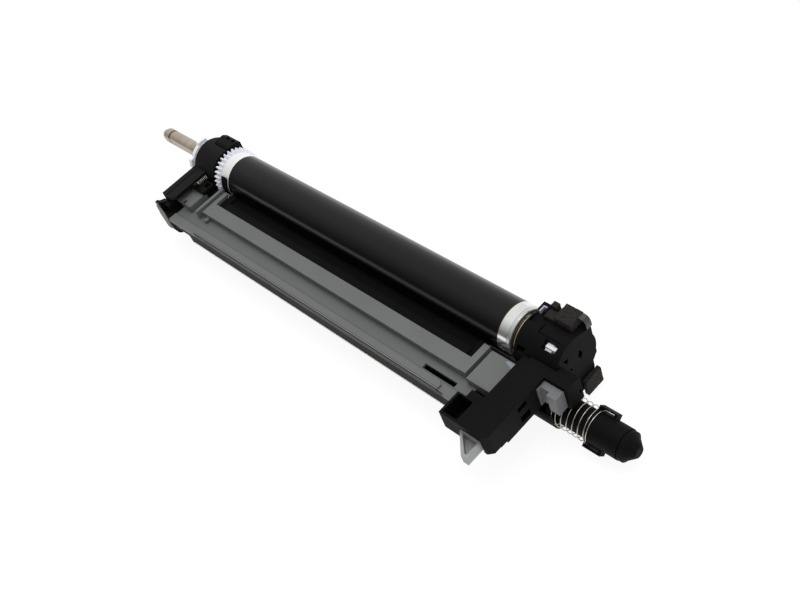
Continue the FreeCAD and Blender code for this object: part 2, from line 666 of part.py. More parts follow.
def make_gear_cover():
    cover = Piece("gear_cover")
    cover.prism("YZ", [("3", "ring_r - 4"), ("3", "ring_r + 0.4"), ("4.5", "ring_r + 1.2"),
                       ("10.9", "ring_r + 1"),
                       ("ring_r - 2.4", "ring_r - 1.2"), ("ring_r - 2.4", "ring_r - 9"), ("10", "ring_r - 9")],
                f"{RING_END} - 14", f"{RING_END} + 1.2")
    cover.disc("ring_r + fit_gap", f"{RING_END} - 15", f"{RING_END} + 3", kind="Pocket")
    for start, end in ((8.8, 5.6), (3.2, 0)):
        cover.hollow((f"{RING_END} - {start}", f"{RING_END} - {end}"), ("9.4", "ring_r - 4.2"),
                     ("ring_r - 0.8", "ring_r + 2"))


def make_near_end_frame():
    frame = Piece("near_end_frame")
    chamfer = "corner_chamfer"
    # long arm with its chamfered corner
    frame.prism("XY", [(ARM_BACK, "-4"), (ARM_FACE, "-4"), (ARM_FACE, f"near_front_y + {chamfer}"),
                       (f"{ARM_FACE} - {chamfer}", "near_front_y"), (ARM_BACK, "near_front_y")],
                "0 - arm_drop", "near_arm_top")
    frame.block((SHELF_BACK, ARM_BACK), ("near_front_y", "-4"), ("0 - arm_drop", SHELF_TOP))
    # socket box at the front
    frame.block((BOX_BACK, SHELF_BACK), ("near_front_y", "box_rear_y"), ("0 - arm_front_drop", SHELF_TOP))
    frame.block((f"{BOX_BACK} + 3.4", SHELF_BACK), ("box_rear_y", "box_rear_y + 6"),
                ("0 - arm_front_drop", "3"))
    # block beside the lock button
    frame.block((ARM_FACE, f"{ARM_FACE} + block_length"), ("block_side_y", "block_rear_y"),
                ("0 - arm_drop + 0.7", "near_arm_top"))
    # web that carries the pipe and the feet
    frame.prism("YZ", [("front_foot_y", "0 - arm_drop"), ("front_foot_y", "0 - foot_drop"),
                       ("front_foot_y + foot_length", "0 - foot_drop"),
                       ("front_foot_y + foot_length + 4", "6 - foot_drop"),
                       ("auger_y - pipe_r - 3", "0.5 - foot_drop"), ("auger_y + pipe_r + 3", "0.5 - foot_drop"),
                       ("-2", "0 - foot_drop"), ("rear_foot_y", "0 - foot_drop"),
                       ("rear_foot_y", "0 - ring_r - 1.8"),
                       ("-4", "0 - arm_drop")], SHELF_BACK, f"{SHELF_BACK} + web_thick")
    frame.prism("YZ", [("-2", "0 - foot_drop"), ("rear_foot_y", "0 - foot_drop"),
                       ("rear_foot_y", "0 - ring_r - 1.6"),
                       ("-2", "0 - ring_r - 1.6")], f"{SHELF_BACK} + web_thick", f"{NEAR_FACE} - run_gap")
    # slot in the block's outer face
    frame.hollow((f"{ARM_FACE} + block_length - 1.5", f"{ARM_FACE} + block_length + 1"), ("-13", "-11.6"),
                 ("-4", "-1"))
    # lower step under the arm's front
    frame.hollow((f"{SHELF_BACK} - 1", f"{ARM_FACE} + 1"), ("near_front_y - 1", "near_front_y + 12"),
                 ("0 - arm_drop - 0.01", "0 - arm_front_drop"))
    # socket
    frame.hollow((f"{BOX_BACK} + box_wall", f"{SHELF_BACK} - 2.6"),
                 ("near_front_y + box_wall", "box_rear_y - 0.8"),
                 ("2 - arm_front_drop", f"{SHELF_TOP} + 1"))
    # seat of the lock button
    frame.hollow((f"{ARM_FACE} - button_travel - 8", f"{ARM_FACE} + 0.01"),
                 ("block_side_y - button_width - run_gap * 2", "block_side_y"),
                 ("5.3 - button_height - run_gap * 2", "5.3"))
    # two slots in the arm's outer face
    frame.hollow((f"{ARM_FACE} - 3", f"{ARM_FACE} + 1"), ("-41.8", "-35"), ("2", "5.6"))
    frame.hollow((f"{ARM_FACE} - 3", f"{ARM_FACE} + 1"), ("-41.5", "-34.4"), ("-7", "-2.2"))
    # opening and pin holes of the release lever
    lever_low = f"({ARM_FACE} - corner_chamfer - 2.3 - lever_width)"
    lever_high = f"({ARM_FACE} - corner_chamfer - 2.3)"
    frame.hollow((f"{lever_low} - run_gap", f"{lever_high} + run_gap"),
                 ("near_front_y - 1", "near_front_y + 8"),
                 ("0 - arm_drop - 1", "2.6"))
    frame.disc("pin_r", f"{lever_low} - 2", f"{lever_high} + 2", "near_front_y + 3.6", "-2.3", "Pocket")
    # round seats of the bearing housing and the pipe
    frame.disc("ring_r + fit_gap", f"{NEAR_RING} - 1", f"{PLATE_FACE} + 0.3", kind="Pocket")
    frame.disc("pipe_r", f"{SHELF_BACK} - 1", f"{SHELF_BACK} + web_thick + 1", "auger_y", AUGER_Z, "Pocket")


def make_bearing_housing():
    housing = Piece("bearing_housing")
    housing.disc("ring_r - 0.2", NEAR_RING, PLATE_FACE)
    # box beside the ring that carries the sponge blocks, with the clip's frame
    housing.block((f"{NEAR_RING} + 6", NEAR_FACE), ("2", "rear_foot_y + 2.7"), ("-8.5", "box_top"))
    housing.block((f"{NEAR_RING} + 1", f"{NEAR_RING} + 6.2"), ("7", "rear_foot_y + 0.5"), ("6", "box_top + 3"))
    # end plate with its lower tongue
    housing.prism("YZ", [("3.2", "box_top + 0.2"), ("rear_foot_y + 2.7", "12.5"), ("rear_foot_y + 2.7", "-8.5"),
                         ("rear_foot_y - 0.9", "-12.1"), ("rear_foot_y - 0.9", "-16.2"), ("9.4", "-22.5"),
                         ("0.4", "-24.1"), ("-3.4", "-23.8"), ("-9", "-12.5"), ("-9", "0")], NEAR_FACE,
                         PLATE_FACE)
    # drum end, bush and clip seats
    housing.disc("ring_r - ring_wall", f"{NEAR_RING} - 1", f"{NEAR_FACE} - 4", kind="Pocket")
    housing.disc("far_bush_r", f"{NEAR_FACE} - 5", f"{NEAR_FACE} - 0.5", kind="Pocket")
    housing.hollow((f"{NEAR_RING} + 2.1", f"{NEAR_RING} + 5.1"), ("6", "10.8"), ("box_top", "box_top + 4"))
    # flat on the top, raised panel edges, and the square hole at the front
    surface = "(ring_r - 1.2)"
    housing.hollow((f"{NEAR_RING} + 1", f"{NEAR_RING} + 9"), ("-0.5", "6"), ("box_top + 0.2", "ring_r + 0.9"))
    housing.hollow((f"{NEAR_RING} + 6.2", f"{NEAR_FACE} - 1.2"), ("rear_foot_y - 7.5", "rear_foot_y + 4"),
                   ("box_top", "ring_r + 0.9"))
    housing.hollow((f"{NEAR_FACE} - 16.1", f"{NEAR_FACE} - 1.5"), ("-4.4", "-3.6"), (surface, "ring_r + 1"))
    housing.hollow((f"{NEAR_FACE} - 16.1", f"{NEAR_FACE} - 15.4"), ("-4", "1.9"), (surface, "ring_r + 1"))
    housing.hollow((f"{NEAR_RING} + 2", f"{NEAR_RING} + 7"), ("0 - ring_r - 1", "-11.5"), ("5.5", "9.5"))
    # window that shows the retainer's tab, and the shallow recess below it
    housing.hollow((f"{NEAR_FACE} - 10", f"{NEAR_FACE} - 1.5"), ("-9.5", "-4.9"), ("6", "ring_r + 2"))
    housing.hollow((f"{NEAR_FACE} - 10", f"{NEAR_FACE} - 1.5"), ("0 - ring_r - 1", "1.4 - ring_r"), ("1", "7"))
    # windows in the end plate
    window = (f"{PLATE_FACE} - 2.2", f"{PLATE_FACE} + 1", "Pocket")
    housing.prism("YZ", [("3.5", "5"), ("5.3", "1.5"), ("3.5", "-2"), ("1.7", "1.5")], *window)
    housing.prism("YZ", [("-8.6", "8.4"), ("-4.6", "7.2"), ("-6.4", "4")], *window)
    housing.prism("YZ", [("-5.6", "-0.9"), ("-3.8", "-2"), ("-4.6", "-4")], *window)


def make_bearing_retainer():
    retainer = Piece("bearing_retainer")
    retainer.tube("ring_r - ring_wall - fit_gap", "far_bush_r", f"{NEAR_FACE} - 9", f"{NEAR_FACE} - 5")
    retainer.block((f"{NEAR_FACE} - 9", f"{NEAR_FACE} - 2.5"), ("-7.5", "-5.2"), ("9.8", "12.4"))


def make_near_bush():
    bush = Piece("near_bush")
    bush.tube("far_bush_r - fit_gap", "core_r + fit_gap", f"{NEAR_FACE} - 9", f"{NEAR_FACE} - 0.5")


# Waste outlet

def make_waste_pipe():
    pipe = Piece("waste_pipe")
    pipe.tube("pipe_r", "pipe_r - pipe_wall", SHELF_BACK, PIPE_END, "auger_y", AUGER_Z)
    pipe.tube("collar_r", "pipe_r - pipe_wall", COLLAR_START, SPRING_START, "auger_y", AUGER_Z)
    pipe.hollow((f"{PIPE_END} - 15", f"{PIPE_END} - 4"), ("auger_y - 4", "auger_y + 4"),
                (f"{AUGER_Z} - pipe_r - 1", f"{AUGER_Z} - pipe_r / 2"))


def make_pipe_end_cap():
    cap = Piece("pipe_end_cap")
    cap.disc("sleeve_r - 0.4", PIPE_END, f"{PIPE_END} + 2.4", "auger_y", AUGER_Z)
    cap.cone("sleeve_r - 0.9", "cap_tip_r", f"{PIPE_END} + 2.4", "cap_length - 2.4", "auger_y", AUGER_Z)
    bore_end = f"{PIPE_END} + cap_length / 2 + run_gap"
    cap.disc("auger_shaft_r + fit_gap", f"{PIPE_END} - 1", bore_end, "auger_y", AUGER_Z, "Pocket")


def make_shutter_sleeve():
    sleeve = Piece("shutter_sleeve")
    sleeve.tube("sleeve_r", "pipe_r + slide_gap", SLEEVE_START, f"{PIPE_END} - run_gap", "auger_y", AUGER_Z)
    for side in ("", "0 - "):
        sleeve.prism("YZ", lug_corners(side, "sleeve_r - 0.5", "sleeve_r + lug_height", "lug_width / 2"),
                     SLEEVE_START, f"{SLEEVE_START} + lug_length")
        sleeve.prism("YZ", lug_corners(side, "sleeve_r + 0.4", "sleeve_r + lug_height - 0.9",
                                       "lug_width / 2 + 1"),
                     f"{SLEEVE_START} + 1.6", f"{SLEEVE_START} + lug_length - 1.6", "Pocket")


def lug_corners(side, inner, outer, half):
    """A rectangle beside the pipe's axis, leaning up to the rear, or down to the front for side '0 - '."""
    corners = []
    for reach, along in ((inner, f"0 - ({half})"), (outer, f"0 - ({half})"), (outer, half), (inner, half)):
        across = f"({reach}) * cos(lug_lean) - ({along}) * sin(lug_lean)"
        up = f"({reach}) * sin(lug_lean) + ({along}) * cos(lug_lean)"
        corners.append((f"auger_y + ({side}({across}))", f"{AUGER_Z} + ({side}({up}))"))
    return corners


def ring_solid(rings):
    """A closed solid whose sides join each ring of corners to the next."""
    faces = []
    for first, second in zip(rings, rings[1:]):
        for i in range(len(first)):
            j = (i + 1) % len(first)
            for corners in ((first[i], first[j], second[j]), (first[i], second[j], second[i])):
                faces.append(Part.Face(Part.makePolygon([*corners, corners[0]])))
    for ring in (rings[0], rings[-1]):
        faces.append(Part.Face(Part.makePolygon([*ring, ring[0]])))
    return Part.Solid(Part.makeShell(faces))


def coil(radius, wire, turns, start, end, steps, sides):
    """A compression spring with closed ends, as rings of corners along X, round and up."""
    total = int(turns * steps)
    rings = []
    for i in range(total + 1):
        lead = max(0.0, min(1.0, (i - steps * 0.75) / (total - steps * 1.5)))
        along = start + wire + (end - start - 2 * wire) * (lead * 0.8 + 0.2 * i / total)
        turn = 2 * math.pi * i / steps
        ring = []
        for side in range(sides):
            bend = 2 * math.pi * side / sides
            reach = radius + wire * math.cos(bend)
            ring.append((along + wire * math.sin(bend), reach * math.cos(turn), reach * math.sin(turn)))
        rings.append(ring)
    return rings


def make_shutter_spring():
    _, _, centre = gear_angles()
    arm_face = (size("drum_start") + size("coat_length") + size("bare_length") + size("lip_length")
                + size("near_gap") + size("near_ring_width") - size("near_arm_setback"))
    start = arm_face + size("run_gap") + size("collar_width")
    end = arm_face + size("pipe_reach") - size("sleeve_length")
    rings = coil(size("spring_r"), size("spring_wire_r"), size("spring_turns"), start, end, 14, 6)
    rings = [[FreeCAD.Vector(x, centre[0] + y, centre[1] + z) for x, y, z in ring] for ring in rings]
    shape_piece("shutter_spring", ring_solid(rings))


# Levers and the lock button

def make_lock_button():
    button = Piece("lock_button")
    low_y = "(block_side_y - button_width - run_gap)"
    high_y = "(block_side_y - run_gap)"
    low_z = "(5.3 - button_height - run_gap)"
    high_z = "(5.3 - run_gap)"
    button.block((f"{ARM_FACE} - 8 + run_gap", f"{ARM_FACE} + button_length"), (low_y, high_y), (low_z, high_z))
    button.hollow((f"{ARM_FACE} + 0.8", f"{ARM_FACE} + button_length - 6"), (f"{low_y} - 1", f"{low_y} + 2.4"),
                  (f"{low_z} - 1", f"{high_z} + 1"))


def make_release_lever():
    lever = Piece("release_lever")
    low_x = f"({ARM_FACE} - corner_chamfer - 2.3 - lever_width)"
    high_x = f"({ARM_FACE} - corner_chamfer - 2.3)"
    top = "0.5"
    under = "(0.5 - lever_height)"
    back = "(near_front_y + 6)"
    tip_y = "(near_front_y - lever_reach)"
    lever.prism("XY", [(low_x, back), (low_x, "near_front_y - 0.2"), (f"{high_x} - 3.6", tip_y),
                       (high_x, tip_y),
                       (high_x, back)], under, top)
    lever.prism("XY", [(f"{low_x} + lever_wall * 1.5", "near_front_y - 0.3"),
                       (f"{low_x} + lever_wall * 1.5", "near_front_y - 0.8"),
                       (f"{high_x} - 2.4 - lever_wall * 0.4", f"{tip_y} + lever_wall * 1.3"),
                       (f"{high_x} - lever_wall", f"{tip_y} + lever_wall * 1.3"),
                       (f"{high_x} - lever_wall", "near_front_y - 0.3")],
                f"{under} + 1", f"{top} + 1", "Pocket")
    lever.disc("pin_r + fit_gap", f"{low_x} - 1", f"{high_x} + 1", "near_front_y + 3.6", "-2.3", "Pocket")


def make_release_pin():
    pin = Piece("release_pin")
    low_x = f"({ARM_FACE} - corner_chamfer - 2.3 - lever_width)"
    high_x = f"({ARM_FACE} - corner_chamfer - 2.3)"
    pin.disc("pin_r", f"{low_x} - 2", f"{high_x} + 2", "near_front_y + 3.6", "-2.3")


def make_spring_lever():
    lever = Piece("spring_lever")
    lever.block((f"{FLANGE_END} + 3.6", f"{GEAR_START} - 0.8"), ("-27.3", "-17.8"), ("0.6", "3.3"))
    lever.hollow((f"{GEAR_START} - 6.4", f"{GEAR_START} - 2"), ("-23", "-19"), ("0", "4"))
    lever.block((f"{FLANGE_END} + 0.4", f"{FLANGE_END} + 4"), ("-27.3", "-24.6"), ("0.6", "6.2"))
    lever.disc("small_pin_r + fit_gap", f"{ARM_INNER} - 1", f"{GEAR_START} + 1", "-25.6", "1.9", "Pocket")


def make_lever_pin():
    pin = Piece("lever_pin")
    pin.disc("small_pin_r", WEB_END, f"{GEAR_START} - 1.4", "-25.6", "1.9")


def make_lever_spring():
    middle = size("hub_length") + size("run_gap") + size("far_flange_width") + 2
    rise = 4.4
    ring_side = -math.sqrt(size("ring_r") ** 2 - (rise - size("lever_spring_r")) ** 2)
    rings = coil(size("lever_spring_r"), size("lever_wire_r"), 8, -24.4, ring_side - 0.3, 8, 5)
    rings = [[FreeCAD.Vector(middle + y, x, rise + z) for x, y, z in ring] for ring in rings]
    shape_piece("lever_spring", ring_solid(rings))


# Sponge blocks

def make_foam():
    large = Piece("foam_block_large")
    large.block((f"{NEAR_FACE} - 12.5", f"{NEAR_FACE} - 1.5"), ("rear_foot_y - 7", "rear_foot_y + 4"),
                ("box_top", "box_top + foam_height"))
    small = Piece("foam_block_small")
    small.block((f"{NEAR_RING} + 6.4", f"{NEAR_RING} + 10.4"), ("rear_foot_y - 1", "rear_foot_y + 2.7"),
                ("box_top", "box_top + foam_height - 1"))
    low = Piece("foam_block_low")
    low.block((f"{NEAR_RING} + 6.4", f"{NEAR_FACE} - 12.7"), ("rear_foot_y - 7", "rear_foot_y - 1.3"),
              ("box_top", "box_top + foam_height / 2"))
    side = Piece("foam_block_side")
    side.block((PLATE_FACE, f"{PLATE_FACE} + 2.9"), ("0", "rear_foot_y + 0.5"), ("1.5 - foot_drop", "-17.5"))


make_drum_tube()
make_gear_flange()
make_near_flange()
make_drum_shaft()
make_drive_hub()
make_waste_auger()
make_auger_gear()
make_cleaner_housing()
make_lower_casing()
make_front_contact_strip()
make_blade()
make_seal("far_seal", "blade_start - seal_width", "blade_start")
make_seal("near_seal", BLADE_END, f"{BLADE_END} + seal_width - 0.3")
make_recovery_film()
make_far_end_frame()
make_far_bush()
make_gear_cover()
make_near_end_frame()
make_bearing_housing()
make_bearing_retainer()
make_near_bush()
make_waste_pipe()
make_pipe_end_cap()
make_shutter_sleeve()
make_shutter_spring()
make_lock_button()
make_release_lever()
make_release_pin()
make_spring_lever()
make_lever_pin()
make_lever_spring()
make_foam()
doc.recompute()

# Every object is sound before anything is written
for item in doc.Objects:
    if {"Invalid", "Error"} & set(item.State):
        raise RuntimeError(f"{item.Name} is {item.State}")
pieces = [item for item in doc.Objects if item.TypeId in ("PartDesign::Body", "Part::Feature")]
for piece in pieces:
    if piece.Shape.isNull() or not piece.Shape.isValid():
        raise RuntimeError(f"{piece.Label} has no valid shape")

os.makedirs("parts", exist_ok=True)
for piece in pieces:
    piece.Shape.exportStep(os.path.join("parts", piece.Label + ".step"))
    print(piece.Label, len(piece.Shape.Solids), round(piece.Shape.Volume, 1))
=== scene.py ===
import json
import math

import bmesh
import bpy
from mathutils import Matrix, Vector, noise

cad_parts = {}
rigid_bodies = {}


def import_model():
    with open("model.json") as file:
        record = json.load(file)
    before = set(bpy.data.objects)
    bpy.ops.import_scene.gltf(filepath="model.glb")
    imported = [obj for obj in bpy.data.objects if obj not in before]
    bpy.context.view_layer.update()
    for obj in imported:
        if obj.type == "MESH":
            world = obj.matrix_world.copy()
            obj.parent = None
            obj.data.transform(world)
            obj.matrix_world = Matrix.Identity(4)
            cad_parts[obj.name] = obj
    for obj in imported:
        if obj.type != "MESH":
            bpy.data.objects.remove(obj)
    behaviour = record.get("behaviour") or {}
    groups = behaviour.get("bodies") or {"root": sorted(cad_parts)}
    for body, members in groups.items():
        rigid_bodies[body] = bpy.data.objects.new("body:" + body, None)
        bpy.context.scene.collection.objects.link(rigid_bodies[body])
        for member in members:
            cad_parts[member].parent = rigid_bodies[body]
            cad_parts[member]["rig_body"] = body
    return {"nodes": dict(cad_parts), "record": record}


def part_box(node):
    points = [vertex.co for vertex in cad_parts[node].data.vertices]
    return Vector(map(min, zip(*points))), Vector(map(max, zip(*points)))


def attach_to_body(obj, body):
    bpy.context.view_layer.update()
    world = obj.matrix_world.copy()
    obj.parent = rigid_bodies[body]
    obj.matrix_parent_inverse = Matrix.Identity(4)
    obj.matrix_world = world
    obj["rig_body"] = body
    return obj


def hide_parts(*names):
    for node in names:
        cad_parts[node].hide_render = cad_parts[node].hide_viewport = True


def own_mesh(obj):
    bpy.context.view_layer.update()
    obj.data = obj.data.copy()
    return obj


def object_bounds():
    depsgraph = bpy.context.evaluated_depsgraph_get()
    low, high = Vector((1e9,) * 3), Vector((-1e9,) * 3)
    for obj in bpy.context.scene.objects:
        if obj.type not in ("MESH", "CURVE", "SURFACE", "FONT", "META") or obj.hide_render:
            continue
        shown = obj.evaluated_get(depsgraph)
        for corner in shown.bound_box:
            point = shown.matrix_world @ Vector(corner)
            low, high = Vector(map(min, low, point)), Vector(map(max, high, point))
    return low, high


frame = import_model()
cad_box = [list(corner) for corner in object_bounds()]
nodes = frame["nodes"]
scene = bpy.context.scene
MM = 0.001

# Places that the materials follow, in metres: X is along the drum, Y across it, Z up
COAT_X = (0.046, 0.2863)
AMBER_LINE_X = (0.28605, 0.28655)
FLANGE_RIM_END_X = (0.2945, 0.2950)
SHAFT_GROOVE_X = (-0.0425, -0.0403)
SHAFT_STAIN_X = (-0.016, -0.006)
GEAR_RING_X = (0.0388, 0.0392)
HOUSING_RUN_X = (0.0495, 0.2790)
HOUSING_TOP_Z = (-0.0036, -0.0033)
HOUSING_FRONT_Y = (-0.05215, -0.05225)
LONG_GROOVE_SHADE_Y = (-0.0472, -0.0380)
RAIL_LINE_Y = (-0.05180, -0.05145)
RAIL_LIP_HIGHLIGHT_Y = (-0.05214, -0.05184)
FIN_X = (0.0030, 0.0084)
FIN_FRONT_Y = (-0.0498, -0.0502)
FIN_Z = (-0.0240, 0.0015)

# The waste pipe's axis, in millimetres
PIPE_Y, PIPE_Z = -17, -20.4588


# Materials

def scaled(colour, factor):
    return tuple(c * factor for c in colour)


class Shade:
    """A material whose node tree is built up by short calls."""

    def __init__(self, name, **sockets):
        self.material = bpy.data.materials.new(name)
        self.material.use_nodes = True
        self.tree = self.material.node_tree
        self.shader = self.tree.nodes["Principled BSDF"]
        self.set(**sockets)
        self.place = self.node("ShaderNodeTexCoord").outputs["Object"]

    def node(self, kind, **settings):
        node = self.tree.nodes.new(kind)
        for key, value in settings.items():
            setattr(node, key, value)
        return node

    def give(self, socket, value):
        """Links another node's output to a socket, or sets the socket's own value."""
        if isinstance(value, bpy.types.NodeSocket):
            self.tree.links.new(value, socket)
        else:
            socket.default_value = value

    def feed(self, node, **inputs):
        for key, value in inputs.items():
            self.give(node.inputs[key.replace("_", " ")], value)
        return node

    def set(self, **inputs):
        self.feed(self.shader, **inputs)

    def noise(self, scale, detail=3.0, roughness=0.5, stretch=None):
        place = self.place
        if stretch:
            place = self.feed(self.node("ShaderNodeMapping"), Vector=place, Scale=stretch).outputs["Vector"]
        node = self.node("ShaderNodeTexNoise")
        return self.feed(node, Vector=place, Scale=scale, Detail=detail, Roughness=roughness).outputs["Fac"]

    def cloud(self):
        """The slow, soft cloudiness of a moulded face."""
        return self.noise(38, 4)

    def cells(self, scale):
        return self.feed(self.node("ShaderNodeTexVoronoi"), Vector=self.place, Scale=scale).outputs["Distance"]

    def axis(self, letter):
        return self.feed(self.node("ShaderNodeSeparateXYZ"), Vector=self.place).outputs[letter]

    def ramp(self, value, low, high, start=0.0, end=1.0):
        node = self.node("ShaderNodeMapRange")
        self.feed(node, Value=value, From_Min=low, From_Max=high, To_Min=start, To_Max=end)
        return node.outputs["Result"]

    def spread(self, value, start=0.0, end=1.0):
        """The usual range of a noise, laid out from start to end."""
        return self.ramp(value, 0.3, 0.7, start, end)

    def maths(self, operation, first, second):
        node = self.node("ShaderNodeMath", operation=operation)
        self.give(node.inputs[0], first)
        self.give(node.inputs[1], second)
        return node.outputs["Value"]

    def times(self, first, second):
        return self.maths("MULTIPLY", first, second)

    def band(self, value, low, high, soft=0.0002):
        """1 between low and high, 0 outside."""
        rise = self.ramp(value, low - soft, low + soft)
        fall = self.ramp(value, high - soft, high + soft, 1.0, 0.0)
        return self.times(rise, fall)

    def mix(self, fac, first, second):
        """A colour between first and second."""
        node = self.node("ShaderNodeMix", data_type="RGBA")
        self.give(node.inputs[0], fac)
        for socket, colour in ((node.inputs[6], first), (node.inputs[7], second)):
            self.give(socket, (*colour, 1) if isinstance(colour, tuple) else colour)
        return node.outputs[2]

    def blend(self, fac, first, second):
        """A number between first and second."""
        node = self.node("ShaderNodeMix", data_type="FLOAT")
        for index, value in ((0, fac), (2, first), (3, second)):
            self.give(node.inputs[index], value)
        return node.outputs[0]

    def soft_edge(self, radius):
        return self.feed(self.node("ShaderNodeBevel", samples=6), Radius=radius).outputs["Normal"]

    def edge_mask(self, radius):
        """1 on sharp edges, 0 on flat faces."""
        dot = self.node("ShaderNodeVectorMath", operation="DOT_PRODUCT")
        self.give(dot.inputs[0], self.soft_edge(radius))
        self.give(dot.inputs[1], self.node("ShaderNodeNewGeometry").outputs["Normal"])
        return self.ramp(dot.outputs["Value"], 0.995, 0.80)

    def bump(self, height, distance, strength, normal=None):
        node = self.feed(self.node("ShaderNodeBump"), Height=height, Distance=distance, Strength=strength)
        if normal is not None:
            self.give(node.inputs["Normal"], normal)
        return node.outputs["Normal"]


def plastic(shade, colour, lighter, roughness, grain=2600, depth=0.00002):
    """Feeds a moulded finish into a material: fine texture, slight cloudiness, rubbed edges."""
    fine = shade.noise(grain, 2)
    rubbed = shade.ramp(shade.noise(260, 3), 0.35, 0.65, 0.1, 0.35)
    wear = shade.times(shade.edge_mask(0.0004), rubbed)
    mottle = shade.maths("ADD", shade.cloud(), shade.times(fine, 0.4))
    shade.set(Base_Color=shade.mix(wear, colour, lighter))
    shade.set(Roughness=shade.ramp(mottle, 0.4, 1.0, roughness - 0.05, roughness + 0.08))
    shade.set(Normal=shade.bump(fine, depth, 0.6, shade.soft_edge(0.00025)))
    return shade.material


def moulded(name, colour, lighter, roughness, level, grain=2600, depth=0.00002):
    """Moulded plastic in one colour."""
    shade = Shade(name, Specular_IOR_Level=level)
    body = shade.mix(shade.spread(shade.cloud()), colour, scaled(colour, 1.12))
    return plastic(shade, body, lighter, roughness, grain, depth)


def metal(name, colour, roughness, streaks=(1, 1, 1), level=0.9):
    """Bare metal with fine marks along one way."""
    shade = Shade(name, Metallic=level)
    marks = shade.noise(900, 3, 0.6, streaks)
    shade.set(Base_Color=shade.mix(shade.spread(shade.noise(60, 4)), scaled(colour, 0.86), colour))
    shade.set(Roughness=shade.spread(marks, roughness - 0.06, roughness + 0.08))
    shade.set(Normal=shade.bump(marks, 0.000006, 0.5, shade.soft_edge(0.0001)))
    return shade.material


def drum_shade():
    """The coated tube: glossy black, with a bare ring and a thin amber line where the coat ends."""
    shade = Shade("drum_coat", IOR=1.33)
    along = shade.axis("X")
    coated = shade.band(along, *COAT_X, 0.00003)
    amber = shade.band(along, *AMBER_LINE_X, 0.00012)
    cloud = shade.noise(24, 4, 0.55, (0.25, 1, 1))
    fine = shade.noise(1800, 3, 0.6, (0.04, 1, 1))
    patches = shade.noise(70, 3, 0.5, (3, 1, 1))
    bare = shade.mix(shade.spread(patches), (0.74, 0.755, 0.75), (0.82, 0.83, 0.835))
    bare = shade.mix(amber, bare, (0.55, 0.34, 0.12))
    dark = shade.mix(shade.spread(cloud), (0.0008, 0.0008, 0.001), (0.0015, 0.0015, 0.0017))
    shade.set(Base_Color=shade.mix(coated, bare, dark))
    shade.set(Metallic=shade.blend(coated, 1.0, 0.0))
    shade.set(Roughness=shade.blend(coated, shade.spread(fine, 0.12, 0.2), shade.spread(cloud, 0.13, 0.17)))
    shade.set(Normal=shade.bump(fine, 0.000002, 0.4))
    return shade.material


def flange_shade():
    """The near flange: a bright metal rim, and behind it near-black as painted shade in the gap before the
    bearing housing.
    """
    shade = Shade("flange_metal", Specular_IOR_Level=0.2)
    rim = shade.ramp(shade.axis("X"), *FLANGE_RIM_END_X, 1.0, 0.0)
    cloud = shade.noise(60, 4)
    bright = shade.mix(shade.spread(cloud), (0.62, 0.62, 0.60), (0.74, 0.74, 0.73))
    # Painted shade: past the rim the flange is near-black and not metallic, standing in for the shadowed gap.
    shade.set(Base_Color=shade.mix(rim, (0.006, 0.006, 0.006), bright))
    shade.set(Metallic=shade.blend(rim, 0.0, 1.0))
    shade.set(Roughness=shade.spread(cloud, 0.22, 0.32))
    shade.set(Normal=shade.bump(shade.noise(900, 2), 0.000002, 0.4, shade.soft_edge(0.0002)))
    return shade.material


def shaft_shade():
    """A turned steel shaft with brown stains towards its ends."""
    shade = Shade("shaft_steel", Metallic=0.75)
    along = shade.axis("X")
    rings = shade.noise(1400, 2, 0.5, (1, 0.03, 0.03))
    stain = shade.noise(150, 4, 0.6, (1, 0.6, 0.6))
    groove_darkening = shade.band(along, *SHAFT_GROOVE_X, 0.0006)
    by_hub = shade.ramp(along, *SHAFT_STAIN_X, 0.0, 0.8)
    dark = shade.maths("MAXIMUM", groove_darkening, shade.times(by_hub, shade.ramp(stain, 0.4, 0.6, 0.4, 1.0)))
    body = shade.mix(shade.ramp(stain, 0.35, 0.65), (0.40, 0.335, 0.27), (0.50, 0.435, 0.37))
    shade.set(Base_Color=shade.mix(dark, body, (0.22, 0.165, 0.12)))
    shade.set(Roughness=shade.spread(stain, 0.36, 0.5))
    shade.set(Normal=shade.bump(rings, 0.000006, 0.6, shade.soft_edge(0.0003)))
    return shade.material


def housing_shade():
    """The grey housing: a fine dark line and a painted highlight on the lip along the rail, painted shade in the
    long groove, a black front.
    """
    shade = Shade("grey_plastic", Specular_IOR_Level=0.35)
    across = shade.axis("Y")
    top = shade.ramp(shade.axis("Z"), *HOUSING_TOP_Z)
    run = shade.band(shade.axis("X"), *HOUSING_RUN_X)
    line = shade.times(shade.band(across, *RAIL_LINE_Y, 0.00008), top)
    front = shade.ramp(across, *HOUSING_FRONT_Y)
    dark = shade.times(shade.maths("MAXIMUM", line, front), run)
    # Painted highlight: a light line along the top of the rail's lip, where its edge catches the light.
    lip_highlight = shade.times(shade.band(across, *RAIL_LIP_HIGHLIGHT_Y, 0.00004), shade.times(top, run))
    # Painted shade: the grey is darkened across the long groove, where shade falls below the cover's edge.
    groove_darkening = shade.times(shade.band(across, *LONG_GROOVE_SHADE_Y, 0.0008), 0.35)
    body = shade.mix(shade.spread(shade.cloud()), (0.136, 0.141, 0.139), (0.150, 0.156, 0.153))
    body = shade.mix(groove_darkening, body, (0.105, 0.112, 0.109))
    body = shade.mix(dark, body, (0.005, 0.005, 0.005))
    body = shade.mix(lip_highlight, body, (0.32, 0.315, 0.29))
    return plastic(shade, body, (0.2, 0.205, 0.2), 0.5)


def far_frame_shade():
    """The far frame: black, with a tan-grey face on the guide fin's front."""
    shade = Shade("black_plastic_far", Specular_IOR_Level=0.14)
    along = shade.band(shade.axis("X"), *FIN_X, 0.0001)
    front = shade.ramp(shade.axis("Y"), *FIN_FRONT_Y)
    high = shade.band(shade.axis("Z"), *FIN_Z, 0.0004)
    face = shade.times(along, shade.times(front, high))
    body = shade.mix(face, (0.0045, 0.0045, 0.0046), (0.20, 0.195, 0.175))
    return plastic(shade, body, (0.024, 0.024, 0.024), 0.6)


